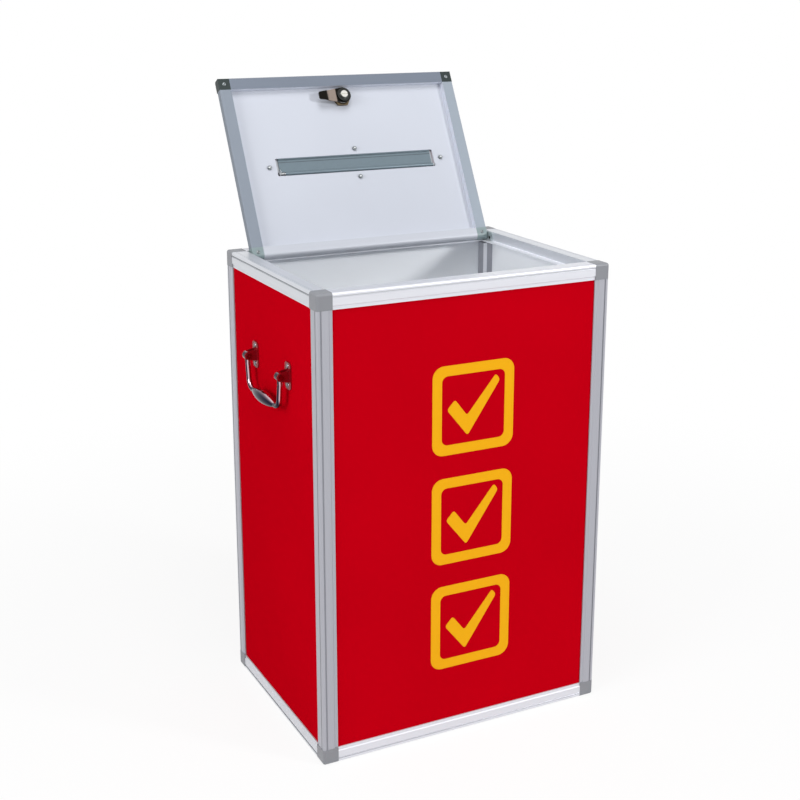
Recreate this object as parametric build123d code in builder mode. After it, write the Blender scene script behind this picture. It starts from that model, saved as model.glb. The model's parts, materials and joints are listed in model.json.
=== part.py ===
"""Ballot box: a slotted aluminium frame with coloured composite panels, a hinged lid that rests open
against the rear rail, a sprung slot flap, a cam lock in the lid and a swing handle on each side.

Millimetres. X is to the right, Y to the rear, Z up; the origin is the centre of the base.
"""

import os
from math import cos, radians, sin, sqrt

from build123d import *

os.makedirs("parts", exist_ok=True)

# Overall size, over the corner connectors
width = 400
depth = 300
height = 600
lid_open = 118  # degrees from closed, where the lid leans on the rear rail

# Frame extrusion, measured from its outer arris
face = 20
wall = 1.5
arris_radius = 2.5
hollow_radius = 0.8
groove_place = 5.4
groove_width = 0.8
groove_depth = 0.5
lip_set = 1.0
lip_wall = 1.4
slot_gap = 3.2
slot_depth = 5.5
ledge_drop = 12.7
ledge_reach = 8
ledge_notch_gap = 0.5

# Corner connectors
cap_proud = 0.4
cap_radius = 3.4
leg_length = 25
leg_clearance = 0.15
leg_lead = 0.5

# Panels
panel_thick = 3
panel_edge_gap = 0.5

# Lid frame, measured from its outer edge and down from its top face
lid_gap = 3.5
lid_thick = 12.5
lid_face = 16
lid_wall = 1.3
lid_arris = 3
lid_lower_arris = 0.8
lid_tail_arris = 5
lid_slot_depth = 6
lid_leg_length = 20

# Lid hinge: a pin in each rear corner of the lid, in a bore in the rear connector's leg
hinge_drop = 5.5
hinge_setback = 9.2
hinge_pin_radius = 2.5
hinge_pin_hold = 12
hinge_pin_depth = 7
hinge_pin_run = 0.05
hinge_pin_clear = 0.4
hinge_plate_length = 26
hinge_plate_height = 11
hinge_plate_thick = 2.4
hinge_plate_edge = 0.8
hinge_plate_corner = 1.5
hinge_screw_radius = 1.2
hinge_screw_head = 2.4
hinge_screw_length = 6
hinge_screw_spread = 15.5
hinge_screw_place = 4.4
hinge_screw_drop = 8.6

# Ballot slot plate, on top of the lid panel, over a window in the panel, off the lid's middle
slot_shift = 4
plate_side_gap = 20.1
plate_end = 26
slot_width = 12
slot_bevel = 1
plate_width = 56
plate_thick = 2.5
plate_corner = 6
plate_edge = 0.8
window_margin = 5
window_width = 25
window_corner = 1.5

# Screws and nuts of the slot plate
plate_screw_inset_x = 10.5
plate_screw_inset_y = 7.5
m3_radius = 1.5
m3_clear = 0.2
m3_head_radius = 2.9
m3_head_height = 1.8
m3_head_edge = 0.6
m3_nut_across = 5.5
m3_nut_height = 2.4
m3_tail = 1.4

# Slot flap, hinged under the plate along the slot's rear edge, and its torsion spring
flap_end_gap = 4
flap_thick = 1.2
flap_lip = 3
flap_seat_gap = 0.2
flap_edge_gap = 0.4
flap_barrel_radius = 2.4
flap_pin_radius = 1.2
flap_pin_run = 0.05
lug_thick = 2
lug_gap = 0.4
spring_wire_radius = 0.3
spring_turns = 5
spring_pitch = 0.95
spring_bore_gap = 0.25
spring_leg_lean = 21
spring_flap_leg = 6.8
spring_plate_leg = 2.3
spring_pocket_gap = 0.6

# Cam lock
lock_from_front = 31
lock_barrel_radius = 9.5
lock_barrel_below = 9
lock_head_radius = 13
lock_head_height = 3
lock_head_edge = 1.2
lock_hole_clear = 0.15
lock_nut_across = 24
lock_nut_height = 5
plug_radius = 6
plug_run = 0.05
plug_collar_radius = 7.2
plug_collar_height = 2
plug_collar_sunk = 0.4
plug_tail = 7
keyway_length = 7
keyway_width = 1.3
keyway_depth = 9
cam_lift = 0.2
cam_thick = 2
cam_reach = 37
cam_hub_radius = 11
cam_tip_width = 10.5
cam_tip_radius = 2
cam_tip_length = 11
cam_crank_drop = 2
cam_crank_run = 4
cam_screw_radius = 2
cam_screw_length = 8
cam_screw_head_radius = 5
cam_screw_head_height = 2.4
cam_screw_slot_width = 1
cam_screw_slot_depth = 1.1
cam_washer_radius = 9.5
cam_washer_thick = 1.5

# Side handles: a bail with a swelling grip between two riveted brackets
handle_from_top = 120
handle_spread = 110
handle_standoff = 12
handle_drop = 41
handle_draw_in = 5
handle_arm_straight = 9
rod_radius = 3.2
bail_corner = 14
grip_length = 72
grip_radius = 8
grip_sink = 0.25
eye_radius = 5.6
eye_land = 0.3
bracket_width = 18
bracket_height = 34
bracket_thick = 1.6
bracket_corner = 5
cheek_gap = 0.3
cheek_thick = 1.5
cheek_radius = 5.4
cheek_foot = 15
handle_pin_radius = 2
handle_pin_run = 0.05
handle_pin_head_radius = 3.2
handle_pin_head_height = 1.2
rivet_spread = 24
rivet_radius = 1.9
rivet_head_radius = 3.6
rivet_head_height = 1.3
rivet_head_edge = 0.8
rivet_tail_radius = 3.2
rivet_tail_height = 1

# One overrun serves every cut
overrun = 1

# Places worked out from the sizes above
face_x = width / 2 - cap_proud
face_y = depth / 2 - cap_proud
rail_top = height - cap_proud
rail_bottom = cap_proud
cap_size = face + cap_proud
mouth_x = face_x - face
mouth_y = face_y - face

slot_front = lip_set + lip_wall
slot_back = slot_front + slot_gap
wing = slot_back + lip_wall
slot_floor = face - slot_depth
panel_set = slot_front + (slot_gap - panel_thick) / 2
panel_inset = slot_floor + panel_edge_gap

hinge_y = mouth_y - hinge_setback
hinge_z = rail_top - hinge_drop
lid_tail = lid_thick - hinge_drop
lid_width = 2 * (mouth_x - lid_gap)
lid_length = hinge_y + lid_tail + mouth_y - lid_gap
lid_slot_floor = lid_face - lid_slot_depth
lid_rib = lid_wall + slot_gap + lid_wall
lid_panel_top = lid_wall + (slot_gap - panel_thick) / 2
lid_panel_bottom = lid_panel_top + panel_thick
lid_panel_inset = lid_slot_floor + panel_edge_gap

plate_length = lid_width - 2 * (lid_face + plate_side_gap)
plate_screws_x = plate_length - 2 * plate_screw_inset_x
plate_screws_y = plate_width - 2 * plate_screw_inset_y
slot_length = plate_length - 2 * plate_end
window_length = slot_length + 2 * window_margin
flap_length = window_length - 2 * flap_end_gap
handle_height = height - handle_from_top

# Frames: the lid's lies in its top face, at its centre, x to the right and y toward the hinge
lid_normal = (0, sin(radians(lid_open)), cos(radians(lid_open)))
hinge_frame = Plane(origin=(0, hinge_y, hinge_z), x_dir=(1, 0, 0), z_dir=lid_normal)
lid_origin = hinge_frame.from_local_coords(Vector(0, lid_tail - lid_length / 2, hinge_drop))
case_frame = Plane.XY
lid_frame = Plane(origin=lid_origin, x_dir=(1, 0, 0), z_dir=lid_normal)

case_middle = Vector(0, 0, (rail_top + rail_bottom) / 2)
case_half = Vector(face_x, face_y, (rail_top - rail_bottom) / 2)
lid_middle = Vector(0, 0, -lid_thick / 2)
lid_half = Vector(lid_width / 2, lid_length / 2, lid_thick / 2)


def finish(piece, label):
    """Name a finished piece and write it."""
    piece.part.label = label
    export_step(piece.part, f"parts/{label}.step")


def way(frame, direction):
    """A direction of a frame in the model's axes."""
    return frame.from_local_coords(direction) - frame.origin


class Rail:
    """A straight rail between two corners, from the two directions in which it faces inward.

    Its start plane has its origin on the rail's outer arris, x and y along the two inward
    directions and z along the rail.
    """

    def __init__(self, frame, middle, half, inset, inward):
        first, second = (Vector(*direction) for direction in inward)
        along = first.cross(second)
        back = (first + second) * -1
        signs = back - along
        arris = middle + Vector(signs.X * half.X, signs.Y * half.Y, signs.Z * half.Z)
        origin = frame.from_local_coords(arris + along * inset)
        self.start = Plane(origin=origin, x_dir=way(frame, first), z_dir=way(frame, along))
        self.length = 2 * (abs(along.dot(half)) - inset)
        self.end = self.start.offset(self.length)
        self.corners = (signs, back + along)


def leg_places(rails, hollow):
    """For each corner that a rail meets: the plane there, the way into the rail and its hollow."""
    for rail in rails.values():
        for corner, place, inwards in zip(rail.corners, (rail.start, rail.end), (1, -1)):
            yield tuple(round(sign) for sign in corner), (place, inwards, hollow)


def add_leg(place, inwards, hollow, length):
    """Leg with a chamfered tip that fills a rail's hollow."""
    with BuildSketch(place) as outline:
        add(hollow)
        offset(amount=-leg_clearance)
    extrude(outline.sketch, amount=inwards * length)
    tip = faces(Select.LAST).sort_by(Axis(place.origin, place.z_dir * inwards))[-1]
    chamfer(tip.edges(), leg_lead)


def group_by_corner(*pairs):
    """Gather the legs of each corner."""
    legs = {}
    for rails, hollow in pairs:
        for corner, leg in leg_places(rails, hollow):
            legs.setdefault(corner, []).append(leg)
    return legs


# Every rail by the two directions in which it faces inward
right, left = (1, 0, 0), (-1, 0, 0)
rearward, forward = (0, 1, 0), (0, -1, 0)
upward, downward = (0, 0, 1), (0, 0, -1)

post_ways = {
    "post_front_left": (right, rearward),
    "post_front_right": (rearward, left),
    "post_rear_right": (left, forward),
    "post_rear_left": (forward, right),
}
bottom_ways = {
    "bottom_rail_front": (rearward, upward),
    "bottom_rail_right": (left, upward),
    "bottom_rail_rear": (forward, upward),
    "bottom_rail_left": (right, upward),
}
top_ways = {
    "top_rail_front": (rearward, downward),
    "top_rail_right": (left, downward),
    "top_rail_rear": (forward, downward),
    "top_rail_left": (right, downward),
}
lid_ways = {
    "lid_rail_front": (rearward, downward),
    "lid_rail_right": (left, downward),
    "lid_rail_left": (right, downward),
}
tail_ways = {"lid_rail_rear": (forward, downward)}
sides = {"left": -1, "right": 1}
corner_signs = {
    "front_left": (-1, -1),
    "front_right": (1, -1),
    "rear_left": (-1, 1),
    "rear_right": (1, 1),
}


def rails_of(ways, frame, middle, half, inset):
    """The rails of one family."""
    return {label: Rail(frame, middle, half, inset, inward) for label, inward in ways.items()}


case = (case_frame, case_middle, case_half, face)
lid = (lid_frame, lid_middle, lid_half, lid_face)
posts = rails_of(post_ways, *case)
bottom_rails = rails_of(bottom_ways, *case)
top_rails = rails_of(top_ways, *case)
lid_rails = rails_of(lid_ways, *lid)
tail_rails = rails_of(tail_ways, *lid)

# Hollow of the two-slot extrusion: a square whose inner corner the 45 degree wall cuts off
hollow_far = slot_floor - wall
hollow_cut = face + wing - wall * sqrt(2) - hollow_far
with BuildSketch() as post_hollow:
    with BuildLine():
        Polyline(
            (wall, wall),
            (hollow_far, wall),
            (hollow_far, hollow_cut),
            (hollow_cut, hollow_far),
            (wall, hollow_far),
            close=True,
        )
    make_face()
    fillet(post_hollow.vertices().sort_by_distance((0, 0))[0], hollow_radius)

# Two-slot extrusion of the posts and bottom rails
lip_step = slot_floor + lip_set / 2
with BuildSketch() as post_section:
    with BuildLine():
        Polyline(
            (0, 0),
            (lip_step, 0),
            (lip_step + lip_set, lip_set),
            (face, lip_set),
            (face, slot_front),
            (slot_floor, slot_front),
            (slot_floor, slot_back),
            (face, slot_back),
            (face, wing),
            (wing, face),
            (slot_back, face),
            (slot_back, slot_floor),
            (slot_front, slot_floor),
            (slot_front, face),
            (lip_set, face),
            (lip_set, lip_step + lip_set),
            (0, lip_step),
            close=True,
        )
    make_face()
    fillet(post_section.vertices().sort_by_distance((0, 0))[0], arris_radius)
    with Locations((groove_place, 0)):
        Rectangle(groove_width, 2 * groove_depth, mode=Mode.SUBTRACT)
    with Locations((0, groove_place)):
        Rectangle(2 * groove_depth, groove_width, mode=Mode.SUBTRACT)
    add(post_hollow.sketch, mode=Mode.SUBTRACT)

# Hollow of a top rail, above its panel slot
corner_align = (Align.MIN, Align.MIN)
with BuildSketch() as top_hollow:
    with Locations((wall, wall)):
        Rectangle(face - 2 * wall, slot_floor - 2 * wall, align=corner_align)
    fillet(top_hollow.vertices(), hollow_radius)

# Top rail: one panel slot below, and a ledge for the lid inside
with BuildSketch() as top_section:
    with BuildLine():
        Polyline(
            (0, 0),
            (face, 0),
            (face, ledge_drop),
            (face + ledge_reach, ledge_drop),
            (face + ledge_reach, slot_floor),
            (wing, slot_floor),
            (wing, face),
            (slot_back, face),
            (slot_back, slot_floor),
            (slot_front, slot_floor),
            (slot_front, face),
            (lip_set, face),
            (lip_set, lip_step + lip_set),
            (0, lip_step),
            close=True,
        )
    make_face()
    fillet(top_section.vertices().sort_by_distance((0, 0))[0], arris_radius)
    with Locations((groove_place, 0)):
        Rectangle(groove_width, 2 * groove_depth, mode=Mode.SUBTRACT)
    with Locations((0, groove_place)):
        Rectangle(2 * groove_depth, groove_width, mode=Mode.SUBTRACT)
    add(top_hollow.sketch, mode=Mode.SUBTRACT)

# Hollows of the lid rails: the rear rail's lower edge is rounded about the hinge line
with BuildSketch() as lid_hollow:
    with Locations((lid_wall, lid_wall)):
        Rectangle(
            lid_slot_floor - 2 * lid_wall, lid_thick - 2 * lid_wall, align=corner_align
        )
    fillet(lid_hollow.vertices(), hollow_radius)

with BuildSketch() as tail_hollow:
    with Locations((lid_wall, lid_wall)):
        Rectangle(
            lid_slot_floor - 2 * lid_wall, lid_thick - 2 * lid_wall, align=corner_align
        )
    for place, outer_radius in ((0, lid_tail_arris), (lid_thick, lid_tail)):
        corner = tail_hollow.vertices().sort_by_distance((0, place))[0]
        fillet(corner, outer_radius - lid_wall)

# Lid rails: a flat underside, a slot for the lid panel near the top and a second chamber below it
lid_sections = {}
for name, hollow, upper_radius, lower_radius in (
    ("lid", lid_hollow, lid_arris, lid_lower_arris),
    ("tail", tail_hollow, lid_tail_arris, lid_tail),
):
    with BuildSketch() as section:
        Rectangle(lid_face, lid_thick, align=corner_align)
        fillet(section.vertices().sort_by_distance((0, 0))[0], upper_radius)
        fillet(section.vertices().sort_by_distance((0, lid_thick))[0], lower_radius)
        with Locations((lid_slot_floor, lid_wall)):
            Rectangle(lid_slot_depth, slot_gap, align=corner_align, mode=Mode.SUBTRACT)
        with Locations((lid_slot_floor, lid_rib)):
            Rectangle(
                lid_slot_depth - lid_wall,
                lid_thick - lid_rib - lid_wall,
                align=corner_align,
                mode=Mode.SUBTRACT,
            )
        add(hollow.sketch, mode=Mode.SUBTRACT)
    lid_sections[name] = section.sketch

# Places that pieces share: the hinge's screws, and the rivets and pins of the handles
hinge_screw_places = [
    (mouth_y - hinge_screw_place - step, rail_top - hinge_screw_drop)
    for step in (0, hinge_screw_spread)
]
bracket_places = [(-handle_spread / 2, handle_height), (handle_spread / 2, handle_height)]
rivet_places = [(y, z + s * rivet_spread / 2) for y, z in bracket_places for s in (-1, 1)]
plate_screw_places = [
    (slot_shift - plate_screws_x / 2, 0),
    (slot_shift + plate_screws_x / 2, 0),
    (slot_shift, -plate_screws_y / 2),
    (slot_shift, plate_screws_y / 2),
]


# Posts, bottom rails and lid rails
for rails, section in (
    (posts, post_section.sketch),
    (bottom_rails, post_section.sketch),
    (lid_rails, lid_sections["lid"]),
    (tail_rails, lid_sections["tail"]),
):
    for label, rail in rails.items():
        with BuildPart() as piece:
            with BuildSketch(rail.start):
                add(section)
            extrude(amount=rail.length)
        finish(piece, label)

# Top rails: the side rails stop their ledge short of the others' and carry the hinge
ledge_notch = ledge_reach + ledge_notch_gap
for label, rail in top_rails.items():
    with BuildPart() as piece:
        with BuildSketch(rail.start):
            add(top_section.sketch)
        extrude(amount=rail.length)
        side = sides.get(label.removeprefix("top_rail_"))
        if side:
            for notch_start in (rail.start, rail.end.offset(-ledge_notch)):
                with BuildSketch(notch_start):
                    with Locations((face, ledge_drop)):
                        Rectangle(ledge_reach, slot_floor - ledge_drop, align=corner_align)
                extrude(amount=ledge_notch, mode=Mode.SUBTRACT)
            with BuildSketch(Plane.YZ.offset(side * mouth_x)):
                with Locations((hinge_y, hinge_z)):
                    Circle(hinge_pin_radius + hinge_pin_clear)
                with Locations(*hinge_screw_places):
                    Circle(hinge_screw_radius)
            extrude(amount=side * (wall + overrun), mode=Mode.SUBTRACT)
    finish(piece, label)

# Corner connectors: a rounded cube with three legs, notched for the panels' corners
slot_middle = (slot_front + slot_back) / 2
reach_x = 2 * (face_x - slot_floor)
reach_y = 2 * (face_y - slot_floor)
reach_z = rail_top - rail_bottom - 2 * slot_floor
panel_spaces = [
    ((0, -face_y + slot_middle, height / 2), (reach_x, slot_gap, reach_z)),
    ((0, face_y - slot_middle, height / 2), (reach_x, slot_gap, reach_z)),
    ((-face_x + slot_middle, 0, height / 2), (slot_gap, reach_y, reach_z)),
    ((face_x - slot_middle, 0, height / 2), (slot_gap, reach_y, reach_z)),
    ((0, 0, rail_bottom + slot_middle), (reach_x, reach_y, slot_gap)),
]
case_legs = group_by_corner(
    (posts, post_hollow.sketch),
    (bottom_rails, post_hollow.sketch),
    (top_rails, top_hollow.sketch),
)
for level, up in (("bottom", -1), ("top", 1)):
    for corner, (side, end) in corner_signs.items():
        tip = Vector(side * width / 2, end * depth / 2, (1 + up) * height / 2)
        middle = tip - Vector(side, end, up) * (cap_size / 2)
        with BuildPart() as piece:
            with Locations(middle):
                Box(cap_size, cap_size, cap_size)
            fillet(piece.edges().sort_by_distance(tip)[:3], cap_radius)
            for centre, sizes in panel_spaces:
                with Locations(centre):
                    Box(*sizes, mode=Mode.SUBTRACT)
            for place, inwards, hollow in case_legs[side, end, up]:
                add_leg(place, inwards, hollow, leg_length)
            if level == "top" and end > 0:
                with BuildSketch(Plane.YZ.offset(side * mouth_x)):
                    with Locations((hinge_y, hinge_z)):
                        Circle(hinge_pin_radius + hinge_pin_run)
                extrude(amount=side * (wall + hinge_pin_depth + overrun), mode=Mode.SUBTRACT)
                with BuildSketch(Plane.YZ.offset(side * mouth_x)):
                    with Locations(*hinge_screw_places):
                        Circle(hinge_screw_radius)
                extrude(amount=side * hinge_screw_length, mode=Mode.SUBTRACT)
        finish(piece, f"{level}_corner_{corner}")

# Panels of the case, in the slots of the frame
panel_x = 2 * (face_x - panel_inset)
panel_y = 2 * (face_y - panel_inset)
panel_z = rail_top - rail_bottom - 2 * panel_inset
skin_x = face_x - panel_set
skin_y = face_y - panel_set

for label, end in (("panel_front", -1), ("panel_rear", 1)):
    with BuildPart() as piece:
        with BuildSketch(Plane.XZ.offset(-end * skin_y)):
            with Locations((0, height / 2)):
                Rectangle(panel_x, panel_z)
        extrude(amount=end * panel_thick)
    finish(piece, label)

for name, side in sides.items():
    with BuildPart() as piece:
        with BuildSketch(Plane.YZ.offset(side * skin_x)):
            with Locations((0, height / 2)):
                Rectangle(panel_y, panel_z)
            with Locations(*rivet_places):
                Circle(rivet_radius, mode=Mode.SUBTRACT)
        extrude(amount=-side * panel_thick)
    finish(piece, f"panel_{name}")

with BuildPart() as piece:
    with BuildSketch(Plane.XY.offset(rail_bottom + panel_set)):
        Rectangle(panel_x, panel_y)
    extrude(amount=panel_thick)
finish(piece, "panel_bottom")

# Hinge plates, screwed through the side rails into the rear connectors' legs
screw_planes = []
plate_y = mouth_y - hinge_plate_edge - hinge_plate_length / 2
plate_z = rail_top - hinge_plate_edge - hinge_plate_height / 2
for name, side in sides.items():
    plate_face = side * (mouth_x - hinge_plate_thick)
    planes = [
        Plane(origin=(plate_face, y, z), x_dir=rearward, z_dir=(-side, 0, 0))
        for y, z in hinge_screw_places
    ]
    screw_planes += planes
    with BuildPart() as piece:
        with BuildSketch(Plane.YZ.offset(side * mouth_x)):
            with Locations((plate_y, plate_z)):
                RectangleRounded(hinge_plate_length, hinge_plate_height, hinge_plate_corner)
            with Locations((hinge_y, hinge_z)):
                Circle(hinge_pin_radius + hinge_pin_clear, mode=Mode.SUBTRACT)
        extrude(amount=-side * hinge_plate_thick)
        with Locations(*planes):
            Cone(
                hinge_screw_radius,
                hinge_screw_head,
                hinge_plate_thick,
                align=(Align.CENTER, Align.CENTER, Align.MAX),
                mode=Mode.SUBTRACT,
            )
    finish(piece, f"hinge_plate_{name}")

below = (Align.CENTER, Align.CENTER, Align.MAX)
above = (Align.CENTER, Align.CENTER, Align.MIN)
with BuildPart() as piece:
    with Locations(*screw_planes):
        Cone(hinge_screw_radius, hinge_screw_head, hinge_plate_thick, align=below)
        Cylinder(hinge_screw_radius, hinge_plate_thick + hinge_screw_length, align=below)
finish(piece, "hinge_plate_screws")

# Hinge pins, pressed into the lid's rear corners
for name, side in sides.items():
    with BuildPart() as piece:
        with BuildSketch(Plane.YZ.offset(side * (lid_width / 2 - hinge_pin_hold))):
            with Locations((hinge_y, hinge_z)):
                Circle(hinge_pin_radius)
        extrude(amount=side * (hinge_pin_hold + lid_gap + wall + hinge_pin_depth))
    finish(piece, f"hinge_pin_{name}")

# Lid corners: a block with two legs, notched for the lid panel's corner
lid_legs = group_by_corner(
    (lid_rails, lid_hollow.sketch),
    (tail_rails, tail_hollow.sketch),
)
lid_reach_x = lid_width - 2 * lid_slot_floor
lid_reach_y = lid_length - 2 * lid_slot_floor
for corner, (side, end) in corner_signs.items():
    tip = Vector(side * lid_width / 2, end * lid_length / 2, 0)
    foot = tip - Vector(0, 0, lid_thick)
    with BuildPart() as piece:
        with BuildSketch(lid_frame):
            with Locations((tip.X - side * lid_face / 2, tip.Y - end * lid_face / 2)):
                Rectangle(lid_face, lid_face)
        extrude(amount=-lid_thick)
        upper_edge, lower_edge = (
            piece.edges().filter_by(Axis.X).sort_by_distance(lid_frame.from_local_coords(place))[0]
            for place in (tip, foot)
        )
        fillet(upper_edge, lid_arris if end < 0 else lid_tail_arris)
        fillet(lower_edge, lid_lower_arris if end < 0 else lid_tail)
        with BuildSketch(lid_frame.offset(-lid_wall)):
            Rectangle(lid_reach_x, lid_reach_y)
        extrude(amount=-slot_gap, mode=Mode.SUBTRACT)
        for place, inwards, hollow in lid_legs[side, end, 1]:
            add_leg(place, inwards, hollow, lid_leg_length)
        if end > 0:
            with BuildSketch(Plane.YZ.offset(side * lid_width / 2)):
                with Locations((hinge_y, hinge_z)):
                    Circle(hinge_pin_radius)
            extrude(amount=-side * hinge_pin_hold, mode=Mode.SUBTRACT)
    finish(piece, f"lid_corner_{corner}")

# Lid panel, with the slot's window and the lock's and screws' holes
lock_y = lock_from_front - lid_length / 2
panel_plane = lid_frame.offset(-lid_panel_top)
with BuildPart() as piece:
    with BuildSketch(panel_plane):
        Rectangle(lid_width - 2 * lid_panel_inset, lid_length - 2 * lid_panel_inset)
        with Locations((slot_shift, 0)):
            RectangleRounded(window_length, window_width, window_corner, mode=Mode.SUBTRACT)
        with Locations((0, lock_y)):
            Circle(lock_barrel_radius + lock_hole_clear, mode=Mode.SUBTRACT)
        with Locations(*plate_screw_places):
            Circle(m3_radius + m3_clear, mode=Mode.SUBTRACT)
    extrude(amount=-panel_thick)
finish(piece, "lid_panel")


def across_slot(x):
    """Plane across the slot at x: its x runs toward the hinge, its y out of the lid's top."""
    origin = lid_frame.from_local_coords(Vector(slot_shift + x, 0, 0))
    return Plane(origin=origin, x_dir=lid_frame.y_dir, z_dir=lid_frame.x_dir)


# Slot plate: a bevelled mouth above, two lugs for the flap's pin below
flap_pin_y = window_width / 2 - flap_edge_gap - flap_barrel_radius
flap_pin_drop = lid_panel_top + flap_seat_gap + flap_barrel_radius
lug_inner = flap_length / 2 + lug_gap
lug_middle = lug_inner + lug_thick / 2
with BuildPart() as piece:
    with BuildSketch(panel_plane):
        with Locations((slot_shift, 0)):
            RectangleRounded(plate_length, plate_width, plate_corner)
            Rectangle(slot_length, slot_width, mode=Mode.SUBTRACT)
        with Locations(*plate_screw_places):
            Circle(m3_radius + m3_clear, mode=Mode.SUBTRACT)
    extrude(amount=plate_thick)
    top = piece.faces().sort_by(Axis(lid_origin, lid_frame.z_dir))[-1]
    chamfer(top.outer_wire().edges(), plate_edge)
    top = piece.faces().sort_by(Axis(lid_origin, lid_frame.z_dir))[-1]
    mouth = top.inner_wires().sort_by(SortBy.LENGTH)[-1]
    chamfer(mouth.edges(), slot_bevel)
    for side in (-1, 1):
        with BuildSketch(across_slot(side * lug_middle - lug_thick / 2)):
            with Locations((flap_pin_y, -flap_pin_drop)):
                Circle(flap_barrel_radius)
            with Locations((flap_pin_y, -lid_panel_top)):
                Rectangle(
                    2 * flap_barrel_radius,
                    flap_pin_drop - lid_panel_top,
                    align=(Align.CENTER, Align.MAX),
                )
            with Locations((flap_pin_y, -flap_pin_drop)):
                Circle(flap_pin_radius, mode=Mode.SUBTRACT)
        extrude(amount=lug_thick)
finish(piece, "slot_plate")

# Screws and nuts of the slot plate
screw_seats = [panel_plane.offset(plate_thick), lid_frame.offset(-lid_panel_bottom)]
m3_length = plate_thick + panel_thick + m3_nut_height + m3_tail
with BuildPart() as piece:
    with BuildSketch(screw_seats[0]):
        with Locations(*plate_screw_places):
            Circle(m3_head_radius)
    extrude(amount=m3_head_height)
    heads = piece.faces().filter_by(lid_frame).group_by(Axis(lid_origin, lid_frame.z_dir))[-1]
    chamfer(heads.edges(), m3_head_edge)
    with BuildSketch(screw_seats[0]):
        with Locations(*plate_screw_places):
            Circle(m3_radius)
    extrude(amount=-m3_length)
finish(piece, "slot_screws")

with BuildPart() as piece:
    with BuildSketch(screw_seats[1]):
        with Locations(*plate_screw_places):
            RegularPolygon(m3_nut_across / 2, side_count=6, major_radius=False)
            Circle(m3_radius, mode=Mode.SUBTRACT)
    extrude(amount=-m3_nut_height)
finish(piece, "slot_nuts")

# Flap: a flat blade with a stiffening lip in front and a barrel round the pin behind
flap_front = flap_edge_gap - window_width / 2
flap_top = -lid_panel_top - flap_seat_gap
spring_radius = flap_pin_radius + spring_bore_gap + spring_wire_radius
spring_length = (spring_turns + (90 + spring_leg_lean) / 360) * spring_pitch
pocket_length = spring_length + 2 * (spring_wire_radius + spring_pocket_gap)
pocket_reach = flap_barrel_radius + spring_pocket_gap
with BuildPart() as piece:
    with BuildSketch(across_slot(-flap_length / 2)):
        with Locations((flap_pin_y, -flap_pin_drop)):
            Circle(flap_barrel_radius)
        with Locations((flap_front, flap_top)):
            Rectangle(flap_pin_y - flap_front, flap_thick, align=(Align.MIN, Align.MAX))
            Rectangle(flap_thick, flap_lip, align=(Align.MIN, Align.MAX))
        with Locations((flap_pin_y, -flap_pin_drop)):
            Circle(flap_pin_radius + flap_pin_run, mode=Mode.SUBTRACT)
    extrude(amount=flap_length)
    with BuildSketch(across_slot(-flap_length / 2)):
        with Locations((flap_pin_y, -flap_pin_drop)):
            Rectangle(2 * pocket_reach, 2 * pocket_reach)
    extrude(amount=pocket_length, mode=Mode.SUBTRACT)
finish(piece, "slot_flap")

with BuildPart() as piece:
    with BuildSketch(across_slot(-lug_inner - lug_thick)):
        with Locations((flap_pin_y, -flap_pin_drop)):
            Circle(flap_pin_radius)
    extrude(amount=2 * (lug_inner + lug_thick))
finish(piece, "flap_pin")

# Torsion spring round the pin: one leg under the blade, one up against the plate
spring_start = across_slot(-flap_length / 2 + spring_wire_radius + spring_pocket_gap)
spring_angle = radians(-90 - spring_leg_lean)
spring_frame = Plane(
    origin=spring_start.from_local_coords(Vector(flap_pin_y, -flap_pin_drop, 0)),
    x_dir=way(spring_start, (cos(spring_angle), sin(spring_angle), 0)),
    z_dir=spring_start.z_dir,
)
with BuildPart() as spring:
    with BuildLine():
        coil = Helix(spring_pitch, spring_length, spring_radius)
    with BuildSketch(Plane(origin=coil @ 0, z_dir=coil % 0)):
        Circle(spring_wire_radius)
    sweep(path=coil, is_frenet=True)
    for place, amount in ((0, -spring_flap_leg), (1, spring_plate_leg)):
        with BuildSketch(Plane(origin=coil @ place, z_dir=coil % place)):
            Circle(spring_wire_radius)
        extrude(amount=amount)
with BuildPart() as piece:
    with Locations(spring_frame):
        add(spring.part)
finish(piece, "flap_spring")

# Lock barrel and its nut
lock_top = panel_plane.offset(lock_head_height)
lock_seat = lid_frame.offset(-lid_panel_bottom)
barrel_length = lock_head_height + panel_thick + lock_barrel_below
collar_space = plug_collar_height + plug_collar_sunk
with BuildPart() as piece:
    with BuildSketch(panel_plane):
        with Locations((0, lock_y)):
            Circle(lock_head_radius)
    extrude(amount=lock_head_height)
    top = piece.faces().sort_by(Axis(lid_origin, lid_frame.z_dir))[-1]
    chamfer(top.edges(), lock_head_edge)
    with BuildSketch(panel_plane):
        with Locations((0, lock_y)):
            Circle(lock_barrel_radius)
    extrude(amount=-panel_thick - lock_barrel_below)
    with BuildSketch(lock_top):
        with Locations((0, lock_y)):
            Circle(plug_radius + plug_run)
    extrude(amount=-barrel_length, mode=Mode.SUBTRACT)
    with BuildSketch(lock_top):
        with Locations((0, lock_y)):
            Circle(plug_collar_radius + plug_run)
    extrude(amount=-collar_space, mode=Mode.SUBTRACT)
finish(piece, "lock_barrel")

with BuildPart() as piece:
    with BuildSketch(lock_seat):
        with Locations((0, lock_y)):
            RegularPolygon(lock_nut_across / 2, side_count=6, major_radius=False)
            Circle(lock_barrel_radius, mode=Mode.SUBTRACT)
    extrude(amount=-lock_nut_height)
finish(piece, "lock_nut")

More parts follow.
